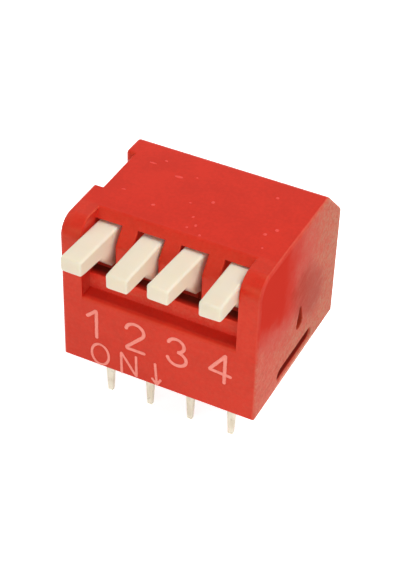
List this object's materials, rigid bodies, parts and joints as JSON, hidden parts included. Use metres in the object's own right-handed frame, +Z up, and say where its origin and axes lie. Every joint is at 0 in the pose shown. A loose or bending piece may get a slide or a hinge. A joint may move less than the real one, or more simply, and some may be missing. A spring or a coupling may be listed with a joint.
{
  "type": "dip switch",
  "caption": "Board-mounted switch block with piano-style keys that tilt over a recessed front to close contacts inside, on two rows of through-hole pins.",
  "frame": {"origin": "centre of the pin field on the board plane, which is the underside of the base", "axes": "+X along the keys from way 1 to way 4, -Y towards the key noses, +Z up from the board"},
  "size_m": [0.0116, 0.0129, 0.0126],
  "materials": {
    "housing_red": "moulded red thermoplastic, satin, with fine dust specks",
    "base_red": "moulded red thermoplastic, slightly darker than the cover",
    "key_white": "moulded cream-white thermoplastic, satin",
    "terminal_tin": "copper alloy, matt tin plate",
    "wiper_gold": "spring copper alloy, gold flash over nickel",
    "legend_ink": "thin pale pink printed legend"
  },
  "bodies": {
    "case": {"housing": "housing_red", "base": "base_red", "front_terminal_1": "terminal_tin", "front_terminal_2": "terminal_tin", "front_terminal_3": "terminal_tin", "front_terminal_4": "terminal_tin", "rear_terminal_1": "terminal_tin", "rear_terminal_2": "terminal_tin", "rear_terminal_3": "terminal_tin", "rear_terminal_4": "terminal_tin"},
    "rocker_1": {"key_1": "key_white", "wiper_1": "wiper_gold"},
    "rocker_2": {"key_2": "key_white", "wiper_2": "wiper_gold"},
    "rocker_3": {"key_3": "key_white", "wiper_3": "wiper_gold"},
    "rocker_4": {"key_4": "key_white", "wiper_4": "wiper_gold"}
  },
  "joints": [
    {"name": "key_1_tilt", "type": "hinge", "parent": "case", "child": "rocker_1", "pos_m": [-0.00381, -0.0016, 0.0062], "axis": [1, 0, 0], "range_deg": [0, 15]},
    {"name": "key_2_tilt", "type": "hinge", "parent": "case", "child": "rocker_2", "pos_m": [-0.00127, -0.0016, 0.0062], "axis": [1, 0, 0], "range_deg": [0, 15]},
    {"name": "key_3_tilt", "type": "hinge", "parent": "case", "child": "rocker_3", "pos_m": [0.00127, -0.0016, 0.0062], "axis": [1, 0, 0], "range_deg": [0, 15]},
    {"name": "key_4_tilt", "type": "hinge", "parent": "case", "child": "rocker_4", "pos_m": [0.00381, -0.0016, 0.0062], "axis": [1, 0, 0], "range_deg": [0, 15]}
  ]
}
